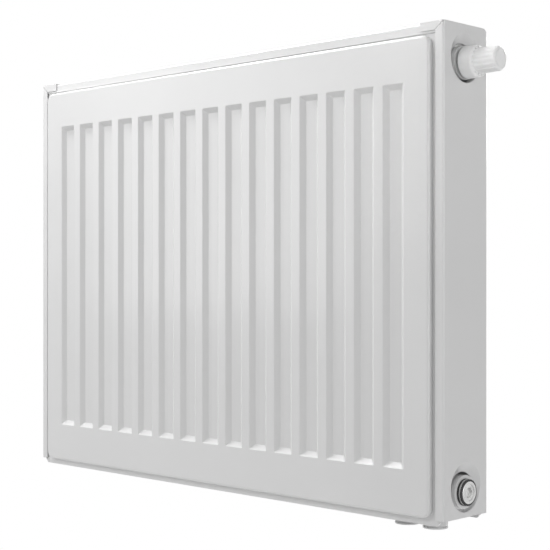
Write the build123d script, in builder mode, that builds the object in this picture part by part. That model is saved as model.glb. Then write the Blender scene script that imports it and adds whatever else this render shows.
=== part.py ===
from build123d import *
import os
from math import atan2, degrees, hypot

# Steel panel radiator with built-in valve, in millimetres.
# X runs along the length, -Y is the room side and +Z is up.
# The origin is the centre of the wall plane that the hanging lugs touch.

# Whole radiator
LENGTH = 660.0
HEIGHT = 500.0
COVER_DEPTH = 74.0
FACE_PROUD = 4.0
LUG_DEPTH = 11.0
SLIP = 0.1
RUNNING = 0.05

# Water panels
PANEL_SHEET = 1.2
FLANGE_SETBACK = 4.0
FLANGE_BEVEL = 6.0
PAN_SIDE_SETBACK = 15.5
PAN_TOP_DROP = 13.0
PAN_BOTTOM_RISE = 7.2
PAN_CORNER = 10.0
PAN_EDGE_ROUND = 2.8
GROOVE_COUNT = 15
GROOVE_PITCH = 38.5
GROOVE_WIDTH = 26.7
GROOVE_TOP_DROP = 58.0
GROOVE_BOTTOM_RISE = 53.7
GROOVE_DEPTH = 4.5
GROOVE_WALL_RUN = 5.5
WELD_WALL_RUN = 7.0
GROOVE_CORNER = 2.0
GROOVE_SOFTNESS = 1.4

# Convector
FIN_SHEET = 0.5
FIN_DEPTH = 32.0
FIN_SETBACK = 10.0
FIN_FOOT = 9.0
FIN_CREST = 12.0
FIN_FEET = 13

# Side covers
COVER_SHEET = 1.0
COVER_LIP = 10.4
COVER_BEND = 2.2
COVER_BOTTOM_RISE = 6.0
COVER_REAR_CORNER = 8.0
TAB_LENGTH = 30.0
TAB_HEIGHT = 8.8
MITRE_SLIT = 0.5
HOLE_RADIUS = 19.8
DISH_RADIUS = 25.0
DISH_RISE = 5.2
DISH_DEPTH = 6.0
DISH_ROUND = 1.0
DISH_BACKING = 1.65
DISH_BACKING_RISE = 0.65
CLIP_COUNT = 4
CLIP_PITCH = 110.0
CLIP_HEIGHT = 14.0
CLIP_WIDTH = 6.0

# Top grille
GRILLE_SHEET = 1.0
GRILLE_LIP = 10.0
GRILLE_BEND = 1.6
SLOT_WIDTH = 7.0
SLOT_LENGTH = 26.0
SLOT_PITCH = 10.2
SLOT_ROW_PITCH = 31.0
SLOT_COLUMNS = 57
SLOT_ROWS = 2

# Corner tees
TEE_INSET = 38.0
TOP_TEE_DROP = 38.4
BOTTOM_TEE_RISE = 31.2
CROSS_RADIUS = 15.0
CROSS_BORE = 10.0
PORT_RADIUS = 9.0
SOCKET_RADIUS = 17.0
SOCKET_BORE = 10.5
SOCKET_RECESS = 1.5
VALVE_TEE_BACK = 20.0
CHAMBER_BACK = 11.0

# Bottom connection
STUB_RADIUS = 13.0
STUB_THREAD_BORE = 9.316
STUB_THREAD_DEPTH = 16.0
STUB_DROP = 9.0
STUB_LENGTH = 19.0
STUB_SPACING = 36.0
STUB_NECK_RADIUS = 10.0
STUB_NECK = 8.0
STUB_RIM = 1.6
STUB_GROOVE = 1.8
STUB_GROOVE_DEPTH = 1.2
RISER_RADIUS = 7.5
RISER_WALL = 1.2
RISER_BEND = 14.0
BRACKET_SHEET = 2.0
BRACKET_DEPTH = 40.0
BRACKET_OVERHANG = 4.0

# Valve insert, lengths along the valve axis
SEAT_BORE = 6.5
SEAT_RADIUS = 8.5
SEAT_HEIGHT = 2.5
VALVE_TRAVEL = 2.5
DISC_RADIUS = 8.2
DISC_THICKNESS = 3.0
DISC_PLATE_RADIUS = 6.0
DISC_PLATE = 1.0
SPINDLE_RADIUS = 2.5
SPINDLE_COLLAR_RADIUS = 4.4
SPINDLE_COLLAR = 1.0
INSERT_SHANK_RADIUS = 10.4
INSERT_SHANK = 24.5
INSERT_HEX = 24.0
INSERT_HEX_LENGTH = 5.5
INSERT_RING_SETBACK = 5.0
HEAD_THREAD_RADIUS = 15.0
HEAD_THREAD_LENGTH = 8.5
DIAL_ROOM_RADIUS = 9.95
DIAL_ROOM = 7.0
GLAND_RADIUS = 7.0
GLAND_LENGTH = 8.5
GLAND_HEX = 14.0
GLAND_HEX_LENGTH = 4.0
GLAND_RING_RADIUS = 4.2
GLAND_RING = 2.0
SPRING_ROOM_RADIUS = 5.2
SPRING_ROOM = 11.0
RING_WIRE = 1.86
DIAL_LENGTH = 4.9
DIAL_WALL = 1.5
DIAL_NOTCH = 1.2
DIAL_NOTCHES = 7
SPRING_WIRE = 0.8
SPRING_RADIUS = 3.9
SPRING_TURNS = 4

# Valve cap
CAP_GAP = 3.0
CAP_LENGTH = 40.0
CAP_BASE_RADIUS = 16.25
CAP_BASE_LENGTH = 15.5
CAP_SHOULDER = 3.0
CAP_GRIP_RADIUS = 13.0
CAP_GRIP_END_RADIUS = 12.2
CAP_END_ROUND = 3.0
CAP_FLUTES = 16
CAP_FLUTE_RADIUS = 2.0
CAP_FLUTE_DEPTH = 0.75
CAP_NOTCH = 1.7
CAP_NOTCH_DEPTH = 1.2
CAP_END_GROOVE = 0.9
CAP_END_GROOVE_DEPTH = 0.6
CAP_CAVITY = 14.0
PIN_RADIUS = 3.0
PIN_STEM = 16.0
PIN_HEAD_RADIUS = 6.0
PIN_HEAD = 1.5

# Plugs and air vent
PLUG_SHANK_RADIUS = 10.4
PLUG_SHANK = 15.5
PLUG_SEAL = 2.2
PLUG_SEAL_RADIUS = 13.5
PLUG_COLLAR_RADIUS = 13.3
PLUG_COLLAR = 1.6
PLUG_RING = 1.2
PLUG_FACE_RADIUS = 11.3
PLUG_FACE_PROUD = 1.0
PLUG_FACE_ROUND = 0.6
PLUG_RECESS_RADIUS = 8.4
PLUG_RECESS_DEPTH = 0.8
PLUG_KEY = 10.0
PLUG_KEY_DEPTH = 3.0
VENT_NECK_RADIUS = 8.0
VENT_NECK = 5.0
VENT_LIP_RADIUS = 8.8
VENT_LIP = 1.0
VENT_HOLE = 0.8
VENT_RING_RADIUS = 10.6
VENT_SPOUT_RADIUS = 2.1
VENT_SPOUT_BORE = 1.0
VENT_SPOUT_REACH = 14.5
BLEED_RADIUS = 3.0
BLEED_LENGTH = 18.0
BLEED_SQUARE = 4.0
BLEED_SQUARE_LENGTH = 5.0

# Hanging lugs
LUG_SHEET = 2.0
LUG_HEIGHT = 40.0
LUG_SPREAD = 300.0
LUG_GROOVE = 6
LUG_FOOT = 8.25
LUG_OPENING = 27.0

# Levels and places worked out from the sizes above
TOP = HEIGHT / 2
BOTTOM = -HEIGHT / 2
SIDE = LENGTH / 2
COVER_FRONT = -(COVER_DEPTH + FACE_PROUD + LUG_DEPTH)
COVER_REAR = COVER_FRONT + COVER_DEPTH
MID_DEPTH = (COVER_FRONT + COVER_REAR) / 2
COVER_BOTTOM = BOTTOM + COVER_BOTTOM_RISE
FRONT_FACE = COVER_FRONT - FACE_PROUD
REAR_FACE = COVER_REAR + FACE_PROUD
FLANGE_FRONT = COVER_FRONT + COVER_SHEET + GRILLE_SHEET + 2 * SLIP
FRONT_SEAM = FLANGE_FRONT + PANEL_SHEET
REAR_SEAM = 2 * MID_DEPTH - FRONT_SEAM
FLANGE_REAR = FRONT_SEAM + PANEL_SHEET
PAN_DEPTH = FRONT_SEAM - FRONT_FACE
PANEL_INSIDE = FRONT_SEAM + PAN_DEPTH
PANEL_GAP = 2 * (MID_DEPTH - PANEL_INSIDE)
WELD_GROOVE_DEPTH = 2 * PAN_DEPTH - GROOVE_DEPTH - 2 * PANEL_SHEET
GRILLE_TOP = TOP - COVER_SHEET - 2 * SLIP
FLANGE_TOP = GRILLE_TOP - GRILLE_SHEET
PAN_TOP = TOP - PAN_TOP_DROP
PAN_BOTTOM = BOTTOM + PAN_BOTTOM_RISE
GROOVE_TOP = TOP - GROOVE_TOP_DROP
GROOVE_BOTTOM = BOTTOM + GROOVE_BOTTOM_RISE
GROOVE_LENGTH = GROOVE_TOP - GROOVE_BOTTOM
GROOVE_CENTRE = (GROOVE_TOP + GROOVE_BOTTOM) / 2
TEE_X = SIDE - TEE_INSET
SOCKET_END = SIDE - SOCKET_RECESS
TOP_TEE = TOP - TOP_TEE_DROP
BOTTOM_TEE = BOTTOM + BOTTOM_TEE_RISE
SUPPLY_X = TEE_X - STUB_SPACING
STUB_BOTTOM = BOTTOM - STUB_DROP
STUB_TOP = STUB_BOTTOM + STUB_LENGTH
BRACKET_TOP = STUB_TOP + BRACKET_SHEET

# Places along the valve axis, counted outwards from the socket end
HEAD_START = INSERT_HEX_LENGTH
HEAD_END = HEAD_START + HEAD_THREAD_LENGTH
GLAND_TOP = HEAD_END - DIAL_ROOM
GLAND_FOOT = GLAND_TOP - GLAND_LENGTH
SPRING_FLOOR = GLAND_FOOT - SPRING_ROOM
COLLAR_TOP = GLAND_FOOT - SLIP
CAP_ROOF = CAP_GAP + CAP_CAVITY
PIN_FOOT = CAP_ROOF - RUNNING - PIN_HEAD
SPINDLE_TIP = PIN_FOOT - RUNNING
SEAT_FACE = TEE_X - CHAMBER_BACK + SEAT_HEIGHT - SOCKET_END
DISC_FACE = SEAT_FACE + VALVE_TRAVEL + RUNNING
DISC_BACK = DISC_FACE + DISC_THICKNESS

os.makedirs("parts", exist_ok=True)


def save(piece, name):
    """Label a finished piece and write it as a STEP file."""
    piece.part.label = name
    export_step(piece.part, f"parts/{name}.step")


def socket_plane(side, level):
    """Plane through a socket's axis: local x runs outwards from the socket end, local y up."""
    return Plane(origin=(side * SOCKET_END, MID_DEPTH, level), x_dir=(side, 0, 0), z_dir=(0, -side, 0))


def socket_face(side, level):
    """Plane of a socket's end ring, its normal pointing outwards."""
    return Plane(origin=(side * SOCKET_END, MID_DEPTH, level), x_dir=(0, side, 0), z_dir=(side, 0, 0))


def turned_section(plane, points):
    """Half section of a turned piece, from points of length along the axis and radius."""
    with BuildSketch(plane) as section:
        with BuildLine():
            Polyline(*points, close=True)
        make_face()
    return section.sketch


def turning_axis(plane):
    """Axis of a turned piece whose half section lies on the plane."""
    return Axis(plane.origin, plane.x_dir)


def pan_form(inset):
    """Rounded tray of a water panel, standing on its seam plane; inset gives its hollow."""
    with BuildPart() as form:
        with BuildSketch():
            with Locations((0, (PAN_TOP + PAN_BOTTOM) / 2)):
                RectangleRounded(
                    2 * (SIDE - PAN_SIDE_SETBACK - inset),
                    PAN_TOP - PAN_BOTTOM - 2 * inset,
                    PAN_CORNER - inset,
                )
        extrude(amount=PAN_DEPTH - inset)
        fillet(form.faces().sort_by(Axis.Z)[-1].edges(), PAN_EDGE_ROUND - inset)
    return form.part


def groove_form(depth, run, growth, sink):
    """Recess with flat sloped walls, its mouth near the pan's face; growth and sink make its backing."""
    mouth = PAN_DEPTH - sink
    floor = mouth - depth
    sections = ((Plane.XZ, GROOVE_WIDTH, Mode.ADD), (Plane.YZ, GROOVE_LENGTH, Mode.INTERSECT))
    with BuildPart() as form:
        for plane, size, mode in sections:
            half = size / 2 + growth
            with BuildSketch(plane):
                Polygon((-half, mouth), (half, mouth), (half - run, floor), (run - half, floor), align=None)
            extrude(amount=GROOVE_LENGTH, both=True, mode=mode)
    return form.part


def soft_groove_form(depth, run):
    """The same recess with rounded corners and floor, and a brim that rounds its mouth."""
    recess = groove_form(depth, run, 0, 0)
    with BuildPart() as form:
        add(recess)
        fillet(form.edges().filter_by(Axis.X, reverse=True).filter_by(Axis.Y, reverse=True), GROOVE_CORNER)
        fillet(form.faces().sort_by(Axis.Z)[0].edges(), GROOVE_SOFTNESS)
        with BuildSketch(Plane.XY.offset(PAN_DEPTH)):
            Rectangle(GROOVE_WIDTH + 4 * GROOVE_SOFTNESS, GROOVE_LENGTH + 4 * GROOVE_SOFTNESS)
        extrude(amount=GROOVE_SOFTNESS)
        brim = form.faces().filter_by(Plane.XY).sort_by(Axis.Z)[1]
        fillet(brim.inner_wires().edges(), GROOVE_SOFTNESS)
    return form.part


def panel_sheet(seam, depth, run, recess, ports):
    """One pressed sheet of a water panel, bulging along the normal of its seam plane."""
    tray = pan_form(0)
    hollow = pan_form(PANEL_SHEET)
    growth = PANEL_SHEET * (hypot(depth, run) - run) / depth
    backing = groove_form(depth, run, growth, PANEL_SHEET)
    with BuildPart(seam) as sheet:
        add(tray)
        with BuildSketch(seam):
            with Locations((0, (FLANGE_TOP + BOTTOM) / 2)):
                flange = Rectangle(2 * (SIDE - FLANGE_SETBACK), FLANGE_TOP - BOTTOM)
            chamfer(flange.vertices(), FLANGE_BEVEL)
        extrude(amount=PANEL_SHEET)
        add(hollow, mode=Mode.SUBTRACT)
        with Locations((0, GROOVE_CENTRE)):
            with GridLocations(GROOVE_PITCH, 0, GROOVE_COUNT, 1):
                add(backing)
                add(recess, mode=Mode.SUBTRACT)
        if ports:
            with BuildSketch(seam):
                with Locations((0, (TOP_TEE + BOTTOM_TEE) / 2)):
                    with GridLocations(2 * TEE_X, TOP_TEE - BOTTOM_TEE, 2, 2):
                        Circle(PORT_RADIUS)
            extrude(amount=PAN_DEPTH, mode=Mode.SUBTRACT)
    return sheet


# The four pressed sheets of the two water panels
front_outward = Plane(origin=(0, FRONT_SEAM, 0), x_dir=(1, 0, 0), z_dir=(0, -1, 0))
front_inward = Plane(origin=(0, FRONT_SEAM, 0), x_dir=(-1, 0, 0), z_dir=(0, 1, 0))
rear_inward = Plane(origin=(0, REAR_SEAM, 0), x_dir=(1, 0, 0), z_dir=(0, -1, 0))
rear_outward = Plane(origin=(0, REAR_SEAM, 0), x_dir=(-1, 0, 0), z_dir=(0, 1, 0))
shown_recess = soft_groove_form(GROOVE_DEPTH, GROOVE_WALL_RUN)
weld_recess = groove_form(WELD_GROOVE_DEPTH, WELD_WALL_RUN, 0, 0)
front_panel_face = panel_sheet(front_outward, GROOVE_DEPTH, GROOVE_WALL_RUN, shown_recess, False)
front_panel_back = panel_sheet(front_inward, WELD_GROOVE_DEPTH, WELD_WALL_RUN, weld_recess, True)
rear_panel_inner = panel_sheet(rear_inward, WELD_GROOVE_DEPTH, WELD_WALL_RUN, weld_recess, True)
rear_panel_back = panel_sheet(rear_outward, GROOVE_DEPTH, GROOVE_WALL_RUN, shown_recess, False)
save(front_panel_face, "front_panel_face")
save(front_panel_back, "front_panel_back")
save(rear_panel_inner, "rear_panel_inner")
save(rear_panel_back, "rear_panel_back")

# Convector: folded fin sheet with its feet on the lands between the recesses
fin_line = []
for foot in range(FIN_FEET):
    land = (foot + 1.5 - (GROOVE_COUNT + 1) / 2) * GROOVE_PITCH
    fin_line.append((land - FIN_FOOT / 2, PANEL_INSIDE))
    fin_line.append((land + FIN_FOOT / 2, PANEL_INSIDE))
    if foot < FIN_FEET - 1:
        crest = land + GROOVE_PITCH / 2
        fin_line.append((crest - FIN_CREST / 2, PANEL_INSIDE + FIN_DEPTH - FIN_SHEET))
        fin_line.append((crest + FIN_CREST / 2, PANEL_INSIDE + FIN_DEPTH - FIN_SHEET))
with BuildPart() as convector:
    with BuildSketch(Plane.XY.offset(GROOVE_BOTTOM + FIN_SETBACK)):
        with BuildLine() as fold:
            Polyline(*fin_line)
            offset(amount=FIN_SHEET, side=Side.LEFT, kind=Kind.INTERSECTION)
        make_face()
    extrude(amount=GROOVE_LENGTH - 2 * FIN_SETBACK)
save(convector, "convector")

# Top grille: folded sheet that rests on the panels' upper flanges
grille_front = COVER_FRONT + COVER_SHEET + SLIP
grille_depth = 2 * (MID_DEPTH - grille_front)
grille_end = SIDE - COVER_BEND - SLIP
with BuildPart() as top_grille:
    with BuildSketch(Plane.YZ.offset(-grille_end)) as grille_section:
        with Locations((MID_DEPTH, GRILLE_TOP)):
            Rectangle(grille_depth, GRILLE_LIP, align=(Align.CENTER, Align.MAX))
        fillet(grille_section.vertices().group_by(Axis.Y)[-1], GRILLE_BEND)
        with Locations((MID_DEPTH, FLANGE_TOP)):
            Rectangle(
                grille_depth - 2 * GRILLE_SHEET,
                GRILLE_LIP,
                align=(Align.CENTER, Align.MAX),
                mode=Mode.SUBTRACT,
            )
    extrude(amount=2 * grille_end)
    with BuildSketch(Plane.XY.offset(FLANGE_TOP)):
        with Locations((0, MID_DEPTH)):
            with GridLocations(SLOT_PITCH, SLOT_ROW_PITCH, SLOT_COLUMNS, SLOT_ROWS):
                SlotOverall(SLOT_LENGTH, SLOT_WIDTH, rotation=90)
    extrude(amount=GRILLE_SHEET, mode=Mode.SUBTRACT)
save(top_grille, "top_grille")


def dish_form(level, growth, rise):
    """Slanting cone pressed into a side cover around a socket; growth and rise make its backing."""
    with BuildPart() as form:
        with BuildSketch(Plane.YZ.offset(SIDE)):
            with Locations((MID_DEPTH, level + DISH_RISE + rise)):
                Circle(DISH_RADIUS + growth)
        with BuildSketch(Plane.YZ.offset(SIDE - DISH_DEPTH)):
            with Locations((MID_DEPTH, level + rise)):
                Circle(HOLE_RADIUS + growth)
        loft(ruled=True)
    return form.part


# Side covers: folded channel with a top flange, a tab over the grille and two dished holes
lip_edge = SIDE - COVER_LIP
tab_edge = SIDE - TAB_LENGTH
tab_bottom = TOP - TAB_HEIGHT
web_inside = SIDE - COVER_SHEET
mitre_angle = degrees(atan2(TAB_HEIGHT, COVER_LIP))
mitre_length = hypot(COVER_LIP, TAB_HEIGHT) + 2 * MITRE_SLIT
clip_middle = (TOP_TEE + BOTTOM_TEE) / 2
flange_edge = SIDE - FLANGE_SETBACK
pad_depth = FLANGE_FRONT - COVER_FRONT - COVER_SHEET
with BuildPart() as right_side_cover:
    with BuildSketch(Plane.XY.offset(COVER_BOTTOM)) as channel:
        with Locations((SIDE, MID_DEPTH)):
            Rectangle(COVER_LIP, COVER_DEPTH, align=(Align.MAX, Align.CENTER))
        fillet(channel.vertices().group_by(Axis.X)[-1], COVER_BEND)
        with BuildSketch(mode=Mode.SUBTRACT) as channel_room:
            with Locations((web_inside, MID_DEPTH)):
                Rectangle(COVER_LIP, COVER_DEPTH - 2 * COVER_SHEET, align=(Align.MAX, Align.CENTER))
            fillet(channel_room.vertices().group_by(Axis.X)[-1], COVER_BEND - COVER_SHEET)
    extrude(amount=TOP - COVER_BOTTOM)
    with BuildSketch(Plane.XY.offset(TOP - COVER_SHEET)) as top_flange:
        with Locations((SIDE, COVER_FRONT)):
            Rectangle(TAB_LENGTH, COVER_DEPTH - COVER_REAR_CORNER, align=(Align.MAX, Align.MIN))
        fillet(top_flange.vertices().group_by(Axis.X)[-1].sort_by(Axis.Y)[0], COVER_BEND)
    extrude(amount=COVER_SHEET)
    with BuildSketch(Plane.XZ.offset(-COVER_FRONT)):
        with Locations((tab_edge, TOP)):
            Rectangle(TAB_LENGTH - COVER_BEND, TAB_HEIGHT, align=(Align.MIN, Align.MAX))
    extrude(amount=-COVER_SHEET)
    with BuildSketch(Plane.XZ.offset(-COVER_FRONT)):
        with Locations((SIDE, TOP)):
            Rectangle(mitre_length, MITRE_SLIT, rotation=mitre_angle, align=(Align.MAX, Align.CENTER))
    extrude(amount=-COVER_SHEET, mode=Mode.SUBTRACT)
    with BuildSketch(Plane.YZ.offset(tab_edge)):
        with Locations((COVER_REAR, TOP)):
            Rectangle(COVER_REAR_CORNER, COVER_REAR_CORNER, align=(Align.MAX, Align.MAX))
        with Locations((COVER_REAR - COVER_REAR_CORNER, TOP - COVER_REAR_CORNER)):
            Circle(COVER_REAR_CORNER, mode=Mode.SUBTRACT)
    extrude(amount=TAB_LENGTH, mode=Mode.SUBTRACT)
    for level in (TOP_TEE, BOTTOM_TEE):
        add(dish_form(level, DISH_BACKING, DISH_BACKING_RISE))
        add(dish_form(level, 0, 0), mode=Mode.SUBTRACT)
    outer_face = right_side_cover.faces().filter_by(Plane.YZ).sort_by(Axis.X)[-1]
    fillet(outer_face.inner_wires().edges(), DISH_ROUND)
    for facing in (1, -1):
        pad_middle = MID_DEPTH - facing * (MID_DEPTH - FLANGE_FRONT + pad_depth / 2)
        hook_middle = MID_DEPTH - facing * (MID_DEPTH - FLANGE_REAR - COVER_SHEET / 2)
        for step in range(CLIP_COUNT):
            clip_level = clip_middle + (step - (CLIP_COUNT - 1) / 2) * CLIP_PITCH
            with Locations((flange_edge - CLIP_WIDTH / 2, pad_middle, clip_level)):
                Box(CLIP_WIDTH, pad_depth, CLIP_HEIGHT)
            with Locations((web_inside, hook_middle, clip_level)):
                Box(CLIP_WIDTH, COVER_SHEET, CLIP_HEIGHT, align=(Align.MAX, Align.CENTER, Align.CENTER))
save(right_side_cover, "right_side_cover")

with BuildPart() as left_side_cover:
    mirror(right_side_cover.part, about=Plane.YZ)
save(left_side_cover, "left_side_cover")


def corner_tee(side, level, back):
    """Tee between the two panels, its socket facing the side cover."""
    barrel = Plane(origin=(side * (TEE_X - back), MID_DEPTH, level), z_dir=(side, 0, 0))
    bore = Plane(origin=(side * (TEE_X - CHAMBER_BACK), MID_DEPTH, level), z_dir=(side, 0, 0))
    across = Plane(origin=(side * TEE_X, PANEL_INSIDE, level), z_dir=(0, 1, 0))
    with BuildPart() as tee:
        with BuildSketch(barrel):
            Circle(SOCKET_RADIUS)
        extrude(amount=SOCKET_END - TEE_X + back)
        with BuildSketch(across):
            Circle(CROSS_RADIUS)
        extrude(amount=PANEL_GAP)
        with BuildSketch(bore):
            Circle(SOCKET_BORE)
        extrude(amount=SOCKET_END - TEE_X + CHAMBER_BACK, mode=Mode.SUBTRACT)
        with BuildSketch(across):
            Circle(CROSS_BORE)
        extrude(amount=PANEL_GAP, mode=Mode.SUBTRACT)
    return tee


# Corner tees: two plain ones on the left, one with a valve seat, one with a return boss
top_left_tee = corner_tee(-1, TOP_TEE, CROSS_RADIUS)
bottom_left_tee = corner_tee(-1, BOTTOM_TEE, CROSS_RADIUS)
save(top_left_tee, "top_left_tee")
save(bottom_left_tee, "bottom_left_tee")

seat_plane = socket_plane(1, TOP_TEE)
seat_floor = SEAT_FACE - SEAT_HEIGHT
inlet_end = TEE_X - VALVE_TEE_BACK - SOCKET_END
seated_tee = corner_tee(1, TOP_TEE, VALVE_TEE_BACK)
with BuildPart() as valve_tee:
    add(seated_tee.part)
    seat_points = [(seat_floor, 0), (SEAT_FACE, 0), (SEAT_FACE, SEAT_RADIUS), (seat_floor, SEAT_RADIUS)]
    revolve(turned_section(seat_plane, seat_points), axis=turning_axis(seat_plane))
    inlet_points = [(inlet_end, 0), (SEAT_FACE, 0), (SEAT_FACE, SEAT_BORE), (inlet_end, SEAT_BORE)]
    revolve(
        turned_section(seat_plane, inlet_points),
        axis=turning_axis(seat_plane),
        mode=Mode.SUBTRACT,
    )
save(valve_tee, "valve_tee")

return_tee = corner_tee(1, BOTTOM_TEE, CROSS_RADIUS)
with BuildPart() as bottom_right_tee:
    add(return_tee.part)
    with BuildSketch(Plane.XY.offset(BRACKET_TOP)):
        with Locations((TEE_X, MID_DEPTH)):
            Circle(STUB_RADIUS)
    extrude(amount=BOTTOM_TEE - BRACKET_TOP)
    with BuildSketch(Plane.XZ.offset(-PANEL_INSIDE)):
        with Locations((TEE_X, BOTTOM_TEE)):
            Circle(CROSS_BORE)
    extrude(amount=-PANEL_GAP, mode=Mode.SUBTRACT)
    with BuildSketch(Plane.YZ.offset(TEE_X - CHAMBER_BACK)):
        with Locations((MID_DEPTH, BOTTOM_TEE)):
            Circle(SOCKET_BORE)
    extrude(amount=SOCKET_END - TEE_X + CHAMBER_BACK, mode=Mode.SUBTRACT)
    with BuildSketch(Plane.XY.offset(BRACKET_TOP)):
        with Locations((TEE_X, MID_DEPTH)):
            Circle(CROSS_BORE)
    extrude(amount=BOTTOM_TEE - BRACKET_TOP, mode=Mode.SUBTRACT)
save(bottom_right_tee, "bottom_right_tee")


def stub_groove(place):
    """Ring to cut from a stub at that place along the length, just above its lower rim."""
    with BuildPart() as form:
        with BuildSketch(Plane.XY.offset(STUB_BOTTOM + STUB_RIM)):
            with Locations((place, MID_DEPTH)):
                Circle(STUB_RADIUS)
                Circle(STUB_RADIUS - STUB_GROOVE_DEPTH, mode=Mode.SUBTRACT)
        extrude(amount=STUB_GROOVE)
    return form.part


# Bottom connection: two threaded stubs, the bracket that ties them and the riser to the valve
with BuildPart() as return_stub:
    with BuildSketch(Plane.XY.offset(STUB_BOTTOM)):
        with Locations((TEE_X, MID_DEPTH)):
            Circle(STUB_RADIUS)
            Circle(STUB_THREAD_BORE, mode=Mode.SUBTRACT)
    extrude(amount=STUB_LENGTH)
    add(stub_groove(TEE_X), mode=Mode.SUBTRACT)
save(return_stub, "return_stub")

neck_top = STUB_TOP + STUB_NECK
riser_foot = STUB_BOTTOM + STUB_THREAD_DEPTH
with BuildPart() as supply_stub:
    with BuildSketch(Plane.XY.offset(STUB_BOTTOM)):
        with Locations((SUPPLY_X, MID_DEPTH)):
            Circle(STUB_RADIUS)
    extrude(amount=STUB_LENGTH)
    with BuildSketch(Plane.XY.offset(STUB_TOP)):
        with Locations((SUPPLY_X, MID_DEPTH)):
            Circle(STUB_NECK_RADIUS)
    extrude(amount=STUB_NECK)
    with BuildSketch(Plane.XY.offset(STUB_BOTTOM)):
        with Locations((SUPPLY_X, MID_DEPTH)):
            Circle(STUB_THREAD_BORE)
    extrude(amount=STUB_THREAD_DEPTH, mode=Mode.SUBTRACT)
    with BuildSketch(Plane.XY.offset(riser_foot)):
        with Locations((SUPPLY_X, MID_DEPTH)):
            Circle(RISER_RADIUS)
    extrude(amount=neck_top - riser_foot, mode=Mode.SUBTRACT)
    add(stub_groove(SUPPLY_X), mode=Mode.SUBTRACT)
save(supply_stub, "supply_stub")

bracket_length = STUB_SPACING + 2 * (STUB_RADIUS + BRACKET_OVERHANG)
with BuildPart() as stub_bracket:
    with BuildSketch(Plane.XY.offset(STUB_TOP)):
        with Locations(((TEE_X + SUPPLY_X) / 2, MID_DEPTH)):
            RectangleRounded(bracket_length, BRACKET_DEPTH, BRACKET_OVERHANG)
        with Locations((SUPPLY_X, MID_DEPTH)):
            Circle(STUB_NECK_RADIUS, mode=Mode.SUBTRACT)
        with Locations((TEE_X, MID_DEPTH)):
            Circle(CROSS_BORE, mode=Mode.SUBTRACT)
    extrude(amount=BRACKET_SHEET)
save(stub_bracket, "stub_bracket")

with BuildPart() as riser_pipe:
    with BuildLine(Plane.XZ.offset(-MID_DEPTH)) as riser_route:
        FilletPolyline(
            (SUPPLY_X, riser_foot),
            (SUPPLY_X, TOP_TEE),
            (TEE_X - VALVE_TEE_BACK, TOP_TEE),
            radius=RISER_BEND,
        )
    with BuildSketch(Plane.XY.offset(riser_foot)):
        with Locations((SUPPLY_X, MID_DEPTH)):
            Circle(RISER_RADIUS)
            Circle(RISER_RADIUS - RISER_WALL, mode=Mode.SUBTRACT)
    sweep(path=riser_route.line)
save(riser_pipe, "riser_pipe")

# Valve insert in the upper right socket
valve_plane = socket_plane(1, TOP_TEE)
valve_face = socket_face(1, TOP_TEE)
valve_axis = turning_axis(valve_plane)
spindle_bore = SPINDLE_RADIUS + RUNNING
ring_seat = SOCKET_BORE - RING_WIRE - RUNNING
with BuildPart() as valve_cartridge:
    with BuildSketch(valve_face):
        RegularPolygon(INSERT_HEX / 2, 6, major_radius=False)
    extrude(amount=INSERT_HEX_LENGTH)
    shank_points = [
        (-INSERT_SHANK, 0),
        (0, 0),
        (0, INSERT_SHANK_RADIUS),
        (-INSERT_SHANK, INSERT_SHANK_RADIUS),
    ]
    revolve(turned_section(valve_plane, shank_points), axis=valve_axis)
    with BuildSketch(valve_face.offset(HEAD_START)):
        Circle(HEAD_THREAD_RADIUS - RUNNING)
    extrude(amount=HEAD_THREAD_LENGTH)
    groove_points = [
        (-INSERT_RING_SETBACK - RING_WIRE / 2 - SLIP, ring_seat),
        (-INSERT_RING_SETBACK + RING_WIRE / 2 + SLIP, ring_seat),
        (-INSERT_RING_SETBACK + RING_WIRE / 2 + SLIP, SOCKET_BORE),
        (-INSERT_RING_SETBACK - RING_WIRE / 2 - SLIP, SOCKET_BORE),
    ]
    revolve(turned_section(valve_plane, groove_points), axis=valve_axis, mode=Mode.SUBTRACT)
    bore_points = [
        (-INSERT_SHANK, 0),
        (HEAD_END, 0),
        (HEAD_END, DIAL_ROOM_RADIUS),
        (GLAND_TOP, DIAL_ROOM_RADIUS),
        (GLAND_TOP, GLAND_RADIUS),
        (GLAND_FOOT, GLAND_RADIUS),
        (GLAND_FOOT, SPRING_ROOM_RADIUS),
        (SPRING_FLOOR, SPRING_ROOM_RADIUS),
        (SPRING_FLOOR, spindle_bore),
        (-INSERT_SHANK, spindle_bore),
    ]
    revolve(turned_section(valve_plane, bore_points), axis=valve_axis, mode=Mode.SUBTRACT)
save(valve_cartridge, "valve_cartridge")

with BuildPart() as cartridge_seal:
    with BuildSketch(valve_plane):
        with Locations((-INSERT_RING_SETBACK, ring_seat + RING_WIRE / 2 + RUNNING / 2)):
            Circle(RING_WIRE / 2)
    revolve(axis=valve_axis)
save(cartridge_seal, "cartridge_seal")

gland_ring_start = (GLAND_FOOT + GLAND_TOP - GLAND_RING) / 2
with BuildPart() as gland_nut:
    with BuildSketch(valve_face.offset(GLAND_FOOT)):
        Circle(GLAND_RADIUS - RUNNING)
    extrude(amount=GLAND_LENGTH)
    with BuildSketch(valve_face.offset(GLAND_TOP)):
        RegularPolygon(GLAND_HEX / 2, 6, major_radius=False)
    extrude(amount=GLAND_HEX_LENGTH)
    with BuildSketch(valve_face.offset(GLAND_FOOT)):
        Circle(spindle_bore)
    extrude(amount=GLAND_LENGTH + GLAND_HEX_LENGTH, mode=Mode.SUBTRACT)
    with BuildSketch(valve_face.offset(gland_ring_start)):
        Circle(GLAND_RING_RADIUS)
    extrude(amount=GLAND_RING, mode=Mode.SUBTRACT)
save(gland_nut, "gland_nut")

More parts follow.
